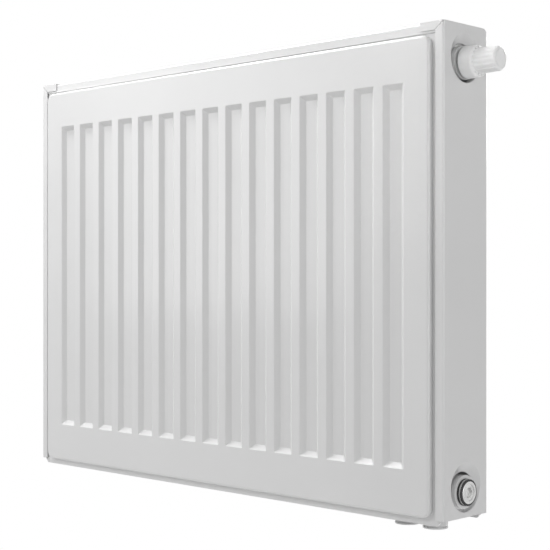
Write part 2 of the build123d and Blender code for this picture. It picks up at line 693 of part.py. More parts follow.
with BuildPart() as gland_seal:
    with BuildSketch(valve_face.offset(gland_ring_start + RUNNING)):
        Circle(GLAND_RING_RADIUS - RUNNING)
        Circle(spindle_bore, mode=Mode.SUBTRACT)
    extrude(amount=GLAND_RING - 2 * RUNNING)
save(gland_seal, "gland_seal")

with BuildPart() as preset_dial:
    with BuildSketch(valve_face.offset(GLAND_TOP + SLIP)):
        Circle(DIAL_ROOM_RADIUS - RUNNING)
        Circle(DIAL_ROOM_RADIUS - RUNNING - DIAL_WALL, mode=Mode.SUBTRACT)
    extrude(amount=DIAL_LENGTH)
    with BuildSketch(valve_face.offset(GLAND_TOP + SLIP + DIAL_LENGTH)):
        with PolarLocations(DIAL_ROOM_RADIUS - DIAL_WALL / 2, DIAL_NOTCHES):
            Rectangle(2 * DIAL_WALL, DIAL_NOTCH)
    extrude(amount=-DIAL_NOTCH, mode=Mode.SUBTRACT)
save(preset_dial, "preset_dial")

spindle_points = [
    (DISC_BACK, 0),
    (SPINDLE_TIP, 0),
    (SPINDLE_TIP, SPINDLE_RADIUS),
    (COLLAR_TOP, SPINDLE_RADIUS),
    (COLLAR_TOP, SPINDLE_COLLAR_RADIUS),
    (COLLAR_TOP - SPINDLE_COLLAR, SPINDLE_COLLAR_RADIUS),
    (COLLAR_TOP - SPINDLE_COLLAR, SPINDLE_RADIUS),
    (DISC_BACK + DISC_PLATE, SPINDLE_RADIUS),
    (DISC_BACK + DISC_PLATE, DISC_PLATE_RADIUS),
    (DISC_BACK, DISC_PLATE_RADIUS),
]
with BuildPart() as valve_spindle:
    revolve(turned_section(valve_plane, spindle_points), axis=valve_axis)
    chamfer(valve_spindle.edges().sort_by(Axis.X)[-1], SPINDLE_RADIUS / 4)
save(valve_spindle, "valve_spindle")

with BuildPart() as valve_disc:
    with BuildSketch(valve_face.offset(DISC_FACE)):
        Circle(DISC_RADIUS)
    extrude(amount=DISC_THICKNESS)
save(valve_disc, "valve_disc")

spring_start = SPRING_FLOOR + SPRING_WIRE / 2
spring_length = COLLAR_TOP - SPINDLE_COLLAR - SPRING_FLOOR - SPRING_WIRE
spring_base = valve_face.offset(spring_start)
with BuildPart() as return_spring:
    with BuildLine() as coil:
        Helix(
            spring_length / SPRING_TURNS,
            spring_length,
            SPRING_RADIUS,
            center=spring_base.origin,
            direction=spring_base.z_dir,
        )
    with BuildSketch(Plane(origin=coil.line @ 0, z_dir=coil.line % 0)):
        Circle(SPRING_WIRE / 2)
    sweep(path=coil.line, is_frenet=True)
save(return_spring, "return_spring")

# Valve cap, which screws on the insert's thread and pushes the pressure pin
cap_end = CAP_GAP + CAP_LENGTH
shoulder = CAP_GAP + CAP_BASE_LENGTH
flute_centre = CAP_GRIP_RADIUS + CAP_FLUTE_RADIUS - CAP_FLUTE_DEPTH
flute_end_centre = CAP_GRIP_END_RADIUS + CAP_FLUTE_RADIUS - CAP_FLUTE_DEPTH
with BuildPart() as flute:
    with BuildSketch(Plane.XY.offset(shoulder)):
        with Locations((flute_centre, 0)):
            Circle(CAP_FLUTE_RADIUS)
    with BuildSketch(Plane.XY.offset(cap_end)):
        with Locations((flute_end_centre, 0)):
            Circle(CAP_FLUTE_RADIUS)
    loft(ruled=True)

cap_points = [
    (CAP_GAP, 0),
    (cap_end, 0),
    (cap_end, CAP_GRIP_END_RADIUS),
    (shoulder, CAP_GRIP_RADIUS),
    (shoulder, CAP_BASE_RADIUS),
    (CAP_GAP, CAP_BASE_RADIUS),
]
cap_room_points = [
    (CAP_GAP, 0),
    (CAP_ROOF + PIN_STEM + SLIP, 0),
    (CAP_ROOF + PIN_STEM + SLIP, PIN_RADIUS + RUNNING),
    (CAP_ROOF, PIN_RADIUS + RUNNING),
    (CAP_ROOF, HEAD_THREAD_RADIUS),
    (CAP_GAP, HEAD_THREAD_RADIUS),
]
with BuildPart(valve_face) as valve_cap:
    revolve(turned_section(valve_plane, cap_points), axis=valve_axis)
    rims = valve_cap.edges().filter_by(GeomType.CIRCLE).sort_by(SortBy.RADIUS)
    fillet(rims[-2:].sort_by(Axis.X)[-1], CAP_SHOULDER)
    fillet(valve_cap.edges().filter_by(GeomType.CIRCLE).sort_by(Axis.X)[-1], CAP_END_ROUND)
    with PolarLocations(0, CAP_FLUTES):
        add(flute.part, mode=Mode.SUBTRACT)
    with BuildSketch(valve_face.offset(shoulder)):
        with PolarLocations(CAP_GRIP_RADIUS + CAP_NOTCH / 2, CAP_FLUTES, start_angle=180 / CAP_FLUTES):
            Rectangle(CAP_NOTCH, CAP_NOTCH)
    extrude(amount=-CAP_NOTCH_DEPTH, mode=Mode.SUBTRACT)
    with BuildSketch(valve_face.offset(cap_end)):
        Circle(CAP_GRIP_END_RADIUS - CAP_END_ROUND)
        Circle(CAP_GRIP_END_RADIUS - CAP_END_ROUND - CAP_END_GROOVE, mode=Mode.SUBTRACT)
    extrude(amount=-CAP_END_GROOVE_DEPTH, mode=Mode.SUBTRACT)
    revolve(turned_section(valve_plane, cap_room_points), axis=valve_axis, mode=Mode.SUBTRACT)
save(valve_cap, "valve_cap")

with BuildPart() as cap_pressure_pin:
    with BuildSketch(valve_face.offset(PIN_FOOT)):
        Circle(PIN_HEAD_RADIUS)
    extrude(amount=PIN_HEAD)
    with BuildSketch(valve_face.offset(PIN_FOOT)):
        Circle(PIN_RADIUS)
    extrude(amount=PIN_HEAD + PIN_STEM)
save(cap_pressure_pin, "cap_pressure_pin")


def blind_plug(side):
    """Closed plug with a flanged collar and a hexagon key hole."""
    plane = socket_plane(side, BOTTOM_TEE)
    collar = PLUG_SEAL + PLUG_COLLAR
    face = collar + PLUG_RING + PLUG_FACE_PROUD
    points = [
        (-PLUG_SHANK, 0),
        (face, 0),
        (face, PLUG_FACE_RADIUS),
        (collar, PLUG_FACE_RADIUS),
        (collar, PLUG_COLLAR_RADIUS),
        (PLUG_SEAL, PLUG_COLLAR_RADIUS),
        (PLUG_SEAL, PLUG_SHANK_RADIUS),
        (-PLUG_SHANK, PLUG_SHANK_RADIUS),
    ]
    with BuildPart() as plug:
        revolve(turned_section(plane, points), axis=turning_axis(plane))
        fillet(plug.faces().sort_by(Axis(plane.origin, plane.x_dir))[-1].edges(), PLUG_FACE_ROUND)
        with BuildSketch(socket_face(side, BOTTOM_TEE).offset(face)):
            Circle(PLUG_RECESS_RADIUS)
        extrude(amount=-PLUG_RECESS_DEPTH, mode=Mode.SUBTRACT)
        with BuildSketch(socket_face(side, BOTTOM_TEE).offset(face)):
            RegularPolygon(PLUG_KEY / 2, 6, major_radius=False)
        extrude(amount=-PLUG_KEY_DEPTH, mode=Mode.SUBTRACT)
    return plug


def flat_ring(plane, inner, outer, thickness):
    """Flat ring standing on a plane."""
    with BuildPart() as ring:
        with BuildSketch(plane):
            Circle(outer)
            Circle(inner, mode=Mode.SUBTRACT)
        extrude(amount=thickness)
    return ring


def plug_rings(side):
    """Seal under a blind plug's collar and the ring around its face."""
    end = socket_face(side, BOTTOM_TEE)
    seal = flat_ring(end, PLUG_SHANK_RADIUS, PLUG_SEAL_RADIUS, PLUG_SEAL)
    trim = flat_ring(end.offset(PLUG_SEAL + PLUG_COLLAR), PLUG_FACE_RADIUS, PLUG_COLLAR_RADIUS, PLUG_RING)
    with BuildPart() as rings:
        add(seal.part)
        add(trim.part)
    return rings


# Blind plugs of the two lower sockets
right_blind_plug = blind_plug(1)
right_plug_seals = plug_rings(1)
left_blind_plug = blind_plug(-1)
left_plug_seals = plug_rings(-1)
save(right_blind_plug, "right_blind_plug")
save(right_plug_seals, "right_plug_seals")
save(left_blind_plug, "left_blind_plug")
save(left_plug_seals, "left_plug_seals")

# Air vent of the upper left socket
vent_plane = socket_plane(-1, TOP_TEE)
vent_face = socket_face(-1, TOP_TEE)
vent_axis = turning_axis(vent_plane)
neck_start = PLUG_SEAL + PLUG_COLLAR
neck_end = neck_start + VENT_NECK
vent_end = neck_end + VENT_LIP
vent_middle = neck_start + VENT_NECK / 2
bleed_foot = vent_end - BLEED_LENGTH
vent_points = [
    (-PLUG_SHANK, VENT_HOLE),
    (bleed_foot, VENT_HOLE),
    (bleed_foot, BLEED_RADIUS + RUNNING),
    (vent_end, BLEED_RADIUS + RUNNING),
    (vent_end, VENT_LIP_RADIUS),
    (neck_end, VENT_LIP_RADIUS),
    (neck_end, VENT_NECK_RADIUS),
    (neck_start, VENT_NECK_RADIUS),
    (neck_start, PLUG_COLLAR_RADIUS),
    (PLUG_SEAL, PLUG_COLLAR_RADIUS),
    (PLUG_SEAL, PLUG_SHANK_RADIUS),
    (-PLUG_SHANK, PLUG_SHANK_RADIUS),
]
vent_x = -SOCKET_END - vent_middle
with BuildPart() as vent_plug:
    revolve(turned_section(vent_plane, vent_points), axis=vent_axis)
    with BuildSketch(Plane.XY.offset(TOP_TEE)):
        with Locations((vent_x, MID_DEPTH)):
            Circle(VENT_HOLE)
    extrude(amount=-VENT_NECK_RADIUS, mode=Mode.SUBTRACT)
save(vent_plug, "vent_plug")

vent_plug_seal = flat_ring(vent_face, PLUG_SHANK_RADIUS, PLUG_SEAL_RADIUS, PLUG_SEAL)
save(vent_plug_seal, "vent_plug_seal")

with BuildPart() as bleed_screw:
    with BuildSketch(vent_face.offset(bleed_foot + SLIP)):
        Circle(BLEED_RADIUS)
    extrude(amount=BLEED_LENGTH - SLIP)
    with BuildSketch(vent_face.offset(vent_end)):
        Rectangle(BLEED_SQUARE, BLEED_SQUARE)
    extrude(amount=BLEED_SQUARE_LENGTH)
save(bleed_screw, "bleed_screw")

with BuildPart() as vent_nozzle:
    with BuildSketch(vent_face.offset(neck_start + SLIP)):
        Circle(VENT_RING_RADIUS)
    extrude(amount=VENT_NECK - 2 * SLIP)
    with BuildSketch(Plane.XY.offset(TOP_TEE - VENT_SPOUT_REACH)):
        with Locations((vent_x, MID_DEPTH)):
            Circle(VENT_SPOUT_RADIUS)
    extrude(amount=VENT_SPOUT_REACH)
    with BuildSketch(Plane.XY.offset(TOP_TEE - VENT_SPOUT_REACH)):
        with Locations((vent_x, MID_DEPTH)):
            Circle(VENT_SPOUT_BORE)
    extrude(amount=VENT_SPOUT_REACH, mode=Mode.SUBTRACT)
    with BuildSketch(vent_face.offset(neck_start)):
        Circle(VENT_NECK_RADIUS + RUNNING)
    extrude(amount=VENT_NECK, mode=Mode.SUBTRACT)
save(vent_nozzle, "vent_nozzle")

# Hanging lugs: hat-shaped straps with their feet on the lands beside one recess
lug_inside = LUG_OPENING / 2
lug_outside = lug_inside + LUG_SHEET
lug_foot_end = lug_outside + LUG_FOOT
lug_points = [
    (-lug_foot_end, REAR_FACE),
    (-lug_inside, REAR_FACE),
    (-lug_inside, -LUG_SHEET),
    (lug_inside, -LUG_SHEET),
    (lug_inside, REAR_FACE),
    (lug_foot_end, REAR_FACE),
    (lug_foot_end, REAR_FACE + LUG_SHEET),
    (lug_outside, REAR_FACE + LUG_SHEET),
    (lug_outside, 0),
    (-lug_outside, 0),
    (-lug_outside, REAR_FACE + LUG_SHEET),
    (-lug_foot_end, REAR_FACE + LUG_SHEET),
]
with BuildPart() as hanging_lugs:
    for level in (-LUG_SPREAD / 2, LUG_SPREAD / 2):
        with BuildSketch(Plane.XY.offset(level - LUG_HEIGHT / 2)):
            with GridLocations(2 * LUG_GROOVE * GROOVE_PITCH, 0, 2, 1):
                Polygon(*lug_points, align=None)
        extrude(amount=LUG_HEIGHT)
save(hanging_lugs, "hanging_lugs")
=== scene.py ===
import math

import bpy
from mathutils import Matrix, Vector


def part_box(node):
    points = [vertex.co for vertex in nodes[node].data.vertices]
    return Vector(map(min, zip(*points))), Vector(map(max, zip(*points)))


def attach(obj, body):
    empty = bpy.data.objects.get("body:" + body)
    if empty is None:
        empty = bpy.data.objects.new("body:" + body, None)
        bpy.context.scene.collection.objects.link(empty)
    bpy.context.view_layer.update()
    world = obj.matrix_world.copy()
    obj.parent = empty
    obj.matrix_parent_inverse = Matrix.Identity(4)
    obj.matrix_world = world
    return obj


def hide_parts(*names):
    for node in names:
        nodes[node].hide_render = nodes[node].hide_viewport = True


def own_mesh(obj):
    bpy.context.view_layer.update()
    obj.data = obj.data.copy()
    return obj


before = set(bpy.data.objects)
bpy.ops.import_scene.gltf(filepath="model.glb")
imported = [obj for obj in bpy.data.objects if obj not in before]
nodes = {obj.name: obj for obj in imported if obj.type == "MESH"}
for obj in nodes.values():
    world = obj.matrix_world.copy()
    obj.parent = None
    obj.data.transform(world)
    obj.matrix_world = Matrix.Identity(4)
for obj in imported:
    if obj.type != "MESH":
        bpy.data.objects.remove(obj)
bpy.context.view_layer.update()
scene = bpy.context.scene
scene.view_settings.view_transform = "Standard"

# Camera at the photograph's viewing point
CAMERA_PLACE = (1.09835, -1.12544, 0.0)
CAMERA_TILT = math.radians(90)
CAMERA_TURN = math.radians(43.927)
CAMERA_SENSOR = 36.0
CAMERA_LENS = 85.33
CAMERA_SHIFT = -0.002
camera_data = bpy.data.cameras.new("camera")
camera_data.sensor_width = CAMERA_SENSOR
camera_data.sensor_fit = "HORIZONTAL"
camera_data.lens = CAMERA_LENS
camera_data.shift_y = CAMERA_SHIFT
camera = bpy.data.objects.new("camera", camera_data)
camera.location = CAMERA_PLACE
camera.rotation_euler = (CAMERA_TILT, 0, CAMERA_TURN)
scene.collection.objects.link(camera)
scene.camera = camera

# Depth of the fittings' axes, heights of the upper and lower ones and of the floor, in metres
MID_DEPTH = -0.052
TOP_SOCKET = 0.2116
BOTTOM_SOCKET = -0.2188
FLOOR_LEVEL = -0.6


# Parts of a material; the details say how fine a noise's smallest patches get
BROAD_DETAIL = 3.0
FINE_DETAIL = 2.0
PEEL_DETAIL = 1.0
EDGE_SAMPLES = 4


def new_material(name):
    """Material with its node tree and its main shader."""
    material = bpy.data.materials.new(name)
    material.use_nodes = True
    tree = material.node_tree
    return material, tree, tree.nodes["Principled BSDF"]


def grey(value):
    return (value, value, value)


def place(tree):
    return tree.nodes.new("ShaderNodeTexCoord").outputs["Object"]


def noise(tree, vector, scale, detail):
    node = tree.nodes.new("ShaderNodeTexNoise")
    node.inputs["Scale"].default_value = scale
    node.inputs["Detail"].default_value = detail
    tree.links.new(vector, node.inputs["Vector"])
    return node.outputs["Fac"]


def ramp(tree, value, low, high, start=0.3, end=0.7):
    """Value from low to high as the input goes from start to end."""
    node = tree.nodes.new("ShaderNodeMapRange")
    node.inputs["From Min"].default_value = start
    node.inputs["From Max"].default_value = end
    node.inputs["To Min"].default_value = low
    node.inputs["To Max"].default_value = high
    tree.links.new(value, node.inputs["Value"])
    return node.outputs["Result"]


def tint(tree, value, dark, light, start=0.3, end=0.7):
    """Colour from dark to light as the input goes from start to end."""
    node = tree.nodes.new("ShaderNodeValToRGB")
    node.color_ramp.elements[0].position = start
    node.color_ramp.elements[0].color = (*dark, 1)
    node.color_ramp.elements[1].position = end
    node.color_ramp.elements[1].color = (*light, 1)
    tree.links.new(value, node.inputs["Fac"])
    return node.outputs["Color"]


def roughen(tree, value, shader, rough, spread):
    """Roughness that strays from its middle value by the two ends of the spread."""
    smoothest, roughest = spread
    strayed = ramp(tree, value, rough + smoothest, rough + roughest)
    tree.links.new(strayed, shader.inputs["Roughness"])


def bump(tree, height, shader, strength, distance, edge):
    """Fine relief over normals that are first rounded by the edge radius at sharp edges."""
    soft = tree.nodes.new("ShaderNodeBevel")
    soft.samples = EDGE_SAMPLES
    soft.inputs["Radius"].default_value = edge
    node = tree.nodes.new("ShaderNodeBump")
    node.inputs["Strength"].default_value = strength
    node.inputs["Distance"].default_value = distance
    tree.links.new(height, node.inputs["Height"])
    tree.links.new(soft.outputs["Normal"], node.inputs["Normal"])
    tree.links.new(node.outputs["Normal"], shader.inputs["Normal"])


# Stoved enamel: cloudy tone, uneven gloss, orange peel, clear coat, and painted shade that darkens the
# colour in creases
CLOUD_SCALE = 7.0
GLOSS_SCALE = 45.0
GLOSS_SPREAD = (-0.02, 0.02)
PEEL_SCALE = 700.0
PEEL_STRENGTH = 0.06
PEEL_DEPTH = 0.0003
ENAMEL_IOR = 1.47
COAT_WEIGHT = 0.6
COAT_ROUGHNESS = 0.12
CREASE_REACH = 0.003
PAINTED_CREASE_SHADE = 0.85
CREASE_CLOSED = 0.25
CREASE_OPEN = 0.8
CREASE_SAMPLES = 8


def crease_painted_shade(tree, colour):
    """The colour with painted shade: darker where a neighbouring face closes in."""
    crease = tree.nodes.new("ShaderNodeAmbientOcclusion")
    crease.samples = CREASE_SAMPLES
    crease.inputs["Distance"].default_value = CREASE_REACH
    level = ramp(tree, crease.outputs["AO"], PAINTED_CREASE_SHADE, 1.0, CREASE_CLOSED, CREASE_OPEN)
    shade = tree.nodes.new("ShaderNodeVectorMath")
    shade.operation = "SCALE"
    tree.links.new(colour, shade.inputs[0])
    tree.links.new(level, shade.inputs["Scale"])
    return shade.outputs["Vector"]


def enamel(name, dark, light, rough, edge):
    """Stoved white enamel, with painted shade in its creases."""
    material, tree, shader = new_material(name)
    vector = place(tree)
    cloud = noise(tree, vector, CLOUD_SCALE, BROAD_DETAIL)
    # Painted shade: the enamel's colour is darkened in creases and gaps
    colour = crease_painted_shade(tree, tint(tree, cloud, dark, light))
    tree.links.new(colour, shader.inputs["Base Color"])
    gloss = noise(tree, vector, GLOSS_SCALE, BROAD_DETAIL)
    roughen(tree, gloss, shader, rough, GLOSS_SPREAD)
    peel = noise(tree, vector, PEEL_SCALE, PEEL_DETAIL)
    bump(tree, peel, shader, PEEL_STRENGTH, PEEL_DEPTH, edge)
    shader.inputs["IOR"].default_value = ENAMEL_IOR
    shader.inputs["Coat Weight"].default_value = COAT_WEIGHT
    shader.inputs["Coat Roughness"].default_value = COAT_ROUGHNESS
    return material


# Relief depth and edge rounding of turned metal and of moulded plastic
FINE_DEPTH = 0.0001
FINE_EDGE = 0.0003

# Turned metal: tool marks and patches of tone
RING_SCALE = 2600.0
RING_STRENGTH = 0.12
RING_SPREAD = (-0.05, 0.08)
PATCH_SCALE = 160.0

# Moulded plastic: mottled tone, uneven gloss and light that enters the surface
MOTTLE_SCALE = 120.0
GRAIN_SPREAD = (-0.05, 0.06)
SCATTER_DEPTH = 0.002


def ring_vector(tree, vector, axis):
    """Distance from the axis and place along it, so that a noise forms rings about the axis."""
    parts = tree.nodes.new("ShaderNodeSeparateXYZ")
    tree.links.new(vector, parts.inputs["Vector"])
    flat = tree.nodes.new("ShaderNodeCombineXYZ")
    for letter, middle in axis.items():
        shift = tree.nodes.new("ShaderNodeMath")
        shift.operation = "SUBTRACT"
        shift.inputs[1].default_value = middle
        tree.links.new(parts.outputs[letter], shift.inputs[0])
        tree.links.new(shift.outputs["Value"], flat.inputs[letter])
    radius = tree.nodes.new("ShaderNodeVectorMath")
    radius.operation = "LENGTH"
    tree.links.new(flat.outputs["Vector"], radius.inputs[0])
    along = ({"X", "Y", "Z"} - set(axis)).pop()
    rings = tree.nodes.new("ShaderNodeCombineXYZ")
    tree.links.new(radius.outputs["Value"], rings.inputs["X"])
    tree.links.new(parts.outputs[along], rings.inputs["Y"])
    return rings.outputs["Vector"]


def turned_metal(name, axis, dark, light, rough):
    """Metal turned on a lathe: rings of tool marks about the axis and a patchy tone.

    The axis is given by the two coordinates it keeps, as {"Y": depth, "Z": height}.
    """
    material, tree, shader = new_material(name)
    vector = place(tree)
    patch = noise(tree, vector, PATCH_SCALE, BROAD_DETAIL)
    tree.links.new(tint(tree, patch, dark, light), shader.inputs["Base Color"])
    rings = noise(tree, ring_vector(tree, vector, axis), RING_SCALE, FINE_DETAIL)
    roughen(tree, rings, shader, rough, RING_SPREAD)
    bump(tree, rings, shader, RING_STRENGTH, FINE_DEPTH, FINE_EDGE)
    shader.inputs["Metallic"].default_value = 1.0
    return material


def moulded(name, dark, light, rough, grain, relief, scatter=0.0):
    """Moulded plastic or rubber: spark-eroded grain of that scale and relief, and a mottled tone."""
    material, tree, shader = new_material(name)
    vector = place(tree)
    mottle = noise(tree, vector, MOTTLE_SCALE, BROAD_DETAIL)
    tree.links.new(tint(tree, mottle, dark, light), shader.inputs["Base Color"])
    fine = noise(tree, vector, grain, FINE_DETAIL)
    roughen(tree, fine, shader, rough, GRAIN_SPREAD)
    bump(tree, fine, shader, relief, FINE_DEPTH, FINE_EDGE)
    shader.inputs["Subsurface Weight"].default_value = scatter
    shader.inputs["Subsurface Radius"].default_value = grey(1.0)
    shader.inputs["Subsurface Scale"].default_value = SCATTER_DEPTH
    return material


# Finishes of the part
TOP_AXIS = {"Y": MID_DEPTH, "Z": TOP_SOCKET}
BOTTOM_AXIS = {"Y": MID_DEPTH, "Z": BOTTOM_SOCKET}
NICKEL_TONES = ((0.53, 0.53, 0.53), (0.67, 0.67, 0.66))
NICKEL_ROUGHNESS = 0.24
paint = enamel("white_enamel", grey(0.725), grey(0.745), rough=0.3, edge=0.0005)
# Same white enamel, made darker for the parts inside the radiator: the darker tone is painted shade
inner_paint_painted_shade = enamel("inner_enamel_painted_shade", grey(0.66), grey(0.72), rough=0.42, edge=0.0004)
cap_plastic = moulded(
    "cap_plastic", grey(0.93), grey(0.96), rough=0.33, grain=2200.0, relief=0.1, scatter=0.08
)
dial_plastic = moulded(
    "dial_plastic", (0.24, 0.25, 0.26), (0.30, 0.31, 0.32), rough=0.5, grain=2500.0, relief=0.25
)
rubber = moulded(
    "black_rubber", (0.012, 0.012, 0.013), (0.03, 0.03, 0.031), rough=0.58, grain=1800.0, relief=0.35
)
nickel = turned_metal("nickel_plate", BOTTOM_AXIS, *NICKEL_TONES, NICKEL_ROUGHNESS)
vent_nickel = turned_metal("vent_nickel_plate", TOP_AXIS, *NICKEL_TONES, NICKEL_ROUGHNESS)
brass = turned_metal("turned_brass", TOP_AXIS, (0.62, 0.43, 0.19), (0.74, 0.54, 0.27), rough=0.27)
steel = turned_metal("bright_steel", TOP_AXIS, (0.45, 0.46, 0.47), (0.60, 0.61, 0.62), rough=0.26)

FINISHES = {
    "front_panel_face": paint,
    "rear_panel_back": paint,
    "top_grille": paint,
    "left_side_cover": paint,
    "right_side_cover": paint,
    "hanging_lugs": paint,
    "front_panel_back": inner_paint_painted_shade,
    "rear_panel_inner": inner_paint_painted_shade,
    "convector": inner_paint_painted_shade,
    "valve_tee": paint,
    "top_left_tee": paint,
    "bottom_left_tee": paint,
    "bottom_right_tee": paint,
    "riser_pipe": inner_paint_painted_shade,
    "supply_stub": paint,
    "return_stub": paint,
    "stub_bracket": inner_paint_painted_shade,
    "valve_cartridge": vent_nickel,
    "gland_nut": brass,
    "bleed_screw": brass,
    "cartridge_seal": rubber,
    "gland_seal": rubber,
    "valve_disc": rubber,
    "vent_plug_seal": rubber,
    "right_plug_seals": rubber,
    "left_plug_seals": rubber,
    "valve_spindle": steel,
    "return_spring": steel,
    "preset_dial": dial_plastic,
    "valve_cap": cap_plastic,
    "cap_pressure_pin": cap_plastic,
    "vent_nozzle": cap_plastic,
    "vent_plug": vent_nickel,
    "right_blind_plug": nickel,
    "left_blind_plug": nickel,
}
for node_name, finish in FINISHES.items():
    for material_slot in nodes[node_name].material_slots:
        material_slot.material = finish


# Parts of a mesh
SHARP_ANGLE = math.radians(38)


def new_mesh(name, points, faces):
    mesh = bpy.data.meshes.new(name)
    mesh.from_pydata(points, [], faces)
    return mesh


def ring_faces(first, rings, steps, closed=False):
    """Faces between neighbouring rings of points; closed joins the last ring to the first too."""
    faces = []
    for ring in range(rings if closed else rings - 1):
        here, there = first + ring * steps, first + (ring + 1) % rings * steps
        for step in range(steps):
            beside = (step + 1) % steps
            faces.append((here + step, there + step, there + beside, here + beside))
    return faces


def end_faces(first, rings, steps):
    """One face over the first ring and one over the last."""
    last = first + (rings - 1) * steps
    return [tuple(range(first, first + steps)), tuple(range(last + steps - 1, last - 1, -1))]


def finish_piece(name, mesh, finish):
    """Put a finished mesh into the scene as a piece of the radiator body."""
    mesh.shade_smooth()
    mesh.set_sharp_from_angle(angle=SHARP_ANGLE)
    mesh.materials.append(finish)
    piece = bpy.data.objects.new(name, mesh)
    scene.collection.objects.link(piece)
    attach(piece, "radiator")
    return piece


# Pipe stubs with a cut G 1/2 thread, in place of the plain CAD stubs
TURN_STEPS = 72
THREAD_PITCH = 0.001814
THREAD_CORE = 0.009316
THREAD_DEPTH = 0.001162
THREAD_LENGTH = 0.0155
THREAD_ROWS = 8
SHELL_BORE = 0.0107
STUB_RADIUS = 0.013
STUB_LENGTH = 0.019
STUB_RIM = 0.0016
STUB_GROOVE = 0.0018
STUB_GROOVE_DEPTH = 0.0012
NECK_RADIUS = 0.010
NECK_BORE = 0.0075
RETURN_BORE = 0.010
BARE_TONES = ((0.40, 0.40, 0.41), (0.54, 0.54, 0.55))
BARE_ROUGHNESS = 0.3


def turned_mesh(name, centre_x, rows):
    """Closed mesh about an upright axis; a row is a height and one radius or one for each step."""
    points = []
    for height, radii in rows:
        for step in range(TURN_STEPS):
            radius = radii[step] if isinstance(radii, list) else radii
            angle = 2 * math.pi * step / TURN_STEPS
            points.append(
                (centre_x + radius * math.cos(angle), MID_DEPTH + radius * math.sin(angle), height)
            )
    return new_mesh(name, points, ring_faces(0, len(rows), TURN_STEPS, closed=True))


def thread_rows(low, high):
    """Rows of a helical thread from low to high, cut away over one pitch at each end."""
    rows = []
    count = round((high - low) / THREAD_PITCH * THREAD_ROWS)
    for row in range(count + 1):
        height = low + (high - low) * row / count
        full = min(1.0, row / THREAD_ROWS, (count - row) / THREAD_ROWS)
        radii = []
        for step in range(TURN_STEPS):
            phase = (height - low) / THREAD_PITCH - step / TURN_STEPS
            crest = full * (0.5 + 0.5 * math.cos(2 * math.pi * phase))
            radii.append(THREAD_CORE + THREAD_DEPTH * (1 - crest))
        rows.append((height, radii))
    return rows


def pipe_stub(node, neck):
    """Painted shell and bare thread lining of one stub; a neck takes the riser pipe.

    Gives the x of the stub's axis and the height of its shoulder.
    """
    low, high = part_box(node)
    centre_x = (low.x + high.x) / 2
    foot, shoulder, thread_end = low.z, low.z + STUB_LENGTH, low.z + THREAD_LENGTH
    groove_low = foot + STUB_RIM
    groove_high = groove_low + STUB_GROOVE
    rows = [
        (shoulder, STUB_RADIUS),
        (groove_high, STUB_RADIUS),
        (groove_high, STUB_RADIUS - STUB_GROOVE_DEPTH),
        (groove_low, STUB_RADIUS - STUB_GROOVE_DEPTH),
        (groove_low, STUB_RADIUS),
        (foot, STUB_RADIUS),
        (foot, SHELL_BORE),
        (thread_end, SHELL_BORE),
    ]
    if neck:
        rows = [(high.z, NECK_RADIUS), (shoulder, NECK_RADIUS)] + rows
        rows += [(thread_end, NECK_BORE), (high.z, NECK_BORE)]
    else:
        rows += [(thread_end, RETURN_BORE), (shoulder, RETURN_BORE)]
    shell_name, thread_name = node + "_shell", node + "_thread"
    shell = finish_piece(shell_name, turned_mesh(shell_name, centre_x, rows), paint)
    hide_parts(node)
    bare = turned_metal(
        node + "_bare_steel", {"X": centre_x, "Y": MID_DEPTH}, *BARE_TONES, BARE_ROUGHNESS
    )
    lining = [(thread_end, SHELL_BORE), (foot, SHELL_BORE)] + thread_rows(foot, thread_end)
    finish_piece(thread_name, turned_mesh(thread_name, centre_x, lining), bare)
    return centre_x, shoulder


# Weld beads that join the stubs to their bracket
BEAD_SIZE = 0.0016
BEAD_SIDES = 10
BEAD_RIPPLES = 26
BEAD_RIPPLE = 0.16


def weld_bead(name, centre_x, height):
    """Rippled fillet of weld metal round a stub."""
    rows = []
    for side in range(BEAD_SIDES):
        turn = -2 * math.pi * side / BEAD_SIDES
        radii = []
        for step in range(TURN_STEPS):
            ripple = 1 + BEAD_RIPPLE * math.sin(2 * math.pi * BEAD_RIPPLES * step / TURN_STEPS)
            radii.append(STUB_RADIUS + BEAD_SIZE * ripple * math.cos(turn))
        rows.append((height + BEAD_SIZE * math.sin(turn), radii))
    finish_piece(name, turned_mesh(name, centre_x, rows), paint)


for stub_node, has_neck in (("supply_stub", True), ("return_stub", False)):
    stub_x, stub_shoulder = pipe_stub(stub_node, has_neck)
    weld_bead(stub_node + "_weld", stub_x, stub_shoulder)


# Valve spring as a wound wire, in place of the CAD spring
SPRING_TURNS = 4
SPRING_PLAY = 0.00005
WIRE_RADIUS = 0.0004
WIRE_SIDES = 12
COIL_STEPS = 40


def coil_mesh(name, start, end, radius):
    """Wire wound at that radius about the valve's axis, from start to end, with capped ends."""
    points = []
    last = SPRING_TURNS * COIL_STEPS
    for step in range(last + 1):
        angle = 2 * math.pi * step / COIL_STEPS
        middle = start + (end - start) * step / last
        for side in range(WIRE_SIDES):
            turn = 2 * math.pi * side / WIRE_SIDES
            reach = radius + WIRE_RADIUS * math.cos(turn)
            points.append(
                (
                    middle + WIRE_RADIUS * math.sin(turn),
                    MID_DEPTH + reach * math.cos(angle),
                    TOP_SOCKET + reach * math.sin(angle),
                )
            )
    faces = ring_faces(0, last + 1, WIRE_SIDES) + end_faces(0, last + 1, WIRE_SIDES)
    return new_mesh(name, points, faces)


spring_low, spring_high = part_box("return_spring")
spring_mesh = coil_mesh(
    "wound_spring",
    spring_low.x + WIRE_RADIUS,
    spring_high.x - WIRE_RADIUS - SPRING_PLAY,
    (spring_high.z - spring_low.z) / 2 - WIRE_RADIUS,
)
spring = finish_piece("wound_spring", spring_mesh, steel)
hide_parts("return_spring")
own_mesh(spring)


